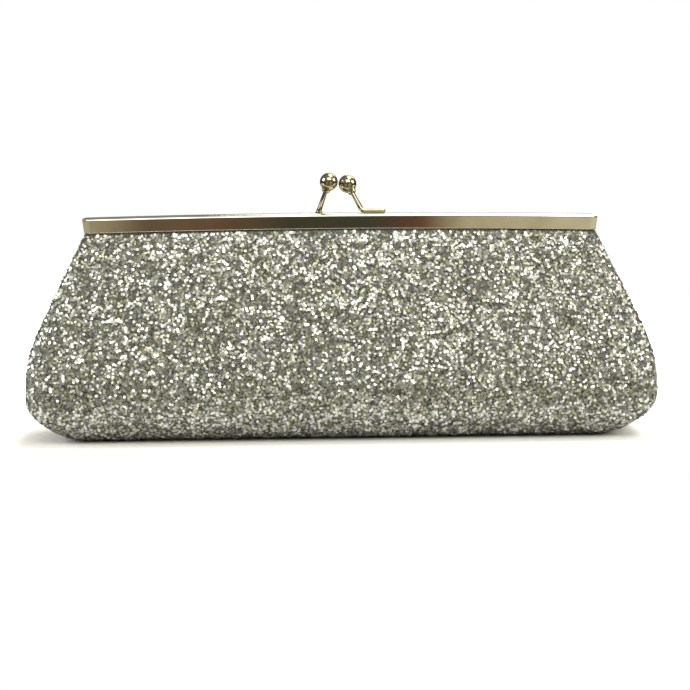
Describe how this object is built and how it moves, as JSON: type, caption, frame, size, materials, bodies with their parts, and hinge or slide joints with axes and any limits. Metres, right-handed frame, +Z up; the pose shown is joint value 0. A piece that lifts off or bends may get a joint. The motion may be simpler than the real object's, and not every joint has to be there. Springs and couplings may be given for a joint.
{
  "type": "evening bag",
  "caption": "Glittered fabric evening clutch with a straight metal frame that opens on internal hinge arms and closes with a ball snap clasp.",
  "frame": {"origin": "middle of the bag's flat bottom, on the surface it stands on", "axes": "+Z up, -Y towards the front of the bag, +X along the frame to the right as seen from the front"},
  "size_m": [0.2548, 0.0498, 0.1082],
  "materials": {
    "glitter_fabric": "silver glitter on an olive-grey backing cloth",
    "foam": "soft padding fleece",
    "board": "matt stiffener board",
    "lining": "plain satin lining",
    "nickel": "polished nickel plate on steel",
    "paper_cord": "twisted kraft paper"
  },
  "bodies": {
    "base": {"bottom_panel": "glitter_fabric", "bottom_board": "board", "bottom_lining": "lining", "left_gusset": "glitter_fabric", "right_gusset": "glitter_fabric", "left_gusset_lining": "lining", "right_gusset_lining": "lining"},
    "front_wall": {"front_panel": "glitter_fabric", "front_foam": "foam", "front_board": "board", "front_lining": "lining"},
    "rear_wall": {"rear_panel": "glitter_fabric", "rear_foam": "foam", "rear_board": "board", "rear_lining": "lining", "slip_pocket": "lining"},
    "front_frame": {"front_rail": "nickel", "front_paper_cord": "paper_cord", "front_arm_left": "nickel", "front_arm_right": "nickel", "front_clasp_post": "nickel", "front_clasp_ball": "nickel"},
    "rear_frame": {"rear_rail": "nickel", "rear_paper_cord": "paper_cord", "rear_arm_left": "nickel", "rear_arm_right": "nickel", "rear_clasp_post": "nickel", "rear_clasp_ball": "nickel", "hinge_rivet_left": "nickel", "hinge_rivet_right": "nickel"}
  },
  "joints": [
    {"name": "front_wall_tilt", "type": "hinge", "parent": "base", "child": "front_wall", "pos_m": [0, -0.01945, 0.005], "axis": [1, 0, 0], "range_deg": [0, 13.5]},
    {"name": "front_frame_swing", "type": "hinge", "parent": "front_wall", "child": "front_frame", "pos_m": [0, -0.0052, 0.0845], "axis": [1, 0, 0], "range_deg": [0, 12.1]},
    {"name": "rear_wall_tilt", "type": "hinge", "parent": "base", "child": "rear_wall", "pos_m": [0, 0.01945, 0.005], "axis": [-1, 0, 0], "range_deg": [0, 13.5]},
    {"name": "rear_frame_swing", "type": "hinge", "parent": "rear_wall", "child": "rear_frame", "pos_m": [0, 0.0052, 0.0845], "axis": [-1, 0, 0], "range_deg": [0, 12.1]}
  ],
  "couplings": [
    {"joint": "front_frame_swing", "follows": "front_wall_tilt", "ratio": 0.892},
    {"joint": "rear_wall_tilt", "follows": "front_wall_tilt", "ratio": 1},
    {"joint": "rear_frame_swing", "follows": "front_wall_tilt", "ratio": 0.892}
  ]
}
